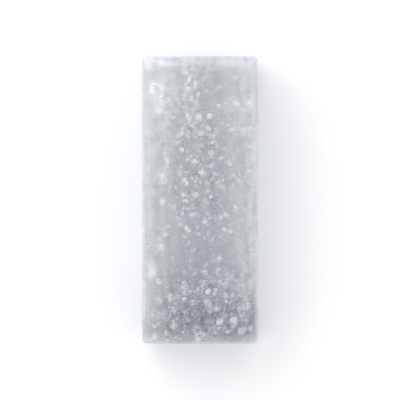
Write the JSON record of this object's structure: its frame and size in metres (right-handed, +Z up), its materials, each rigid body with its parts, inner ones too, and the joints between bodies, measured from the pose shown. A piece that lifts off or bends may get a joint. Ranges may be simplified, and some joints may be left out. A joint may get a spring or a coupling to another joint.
{
  "type": "ice stick",
  "caption": "Long square-section bar of frosted, bubbly ice with softened edges, for chilling a tall drink; lies on a flat long face.",
  "frame": {"origin": "centre of the footprint, on the surface that the bar lies on", "axes": "+Z up through the bar's height, +Y along the bar, +X across it"},
  "size_m": [0.0356, 0.0874, 0.0353],
  "materials": {
    "ice": "see-through ice, cool grey, with trapped air bubbles and a whitish frosted skin that is thickest along the edges"
  },
  "bodies": {
    "root": {"ice_stick": "ice"}
  },
  "joints": []
}
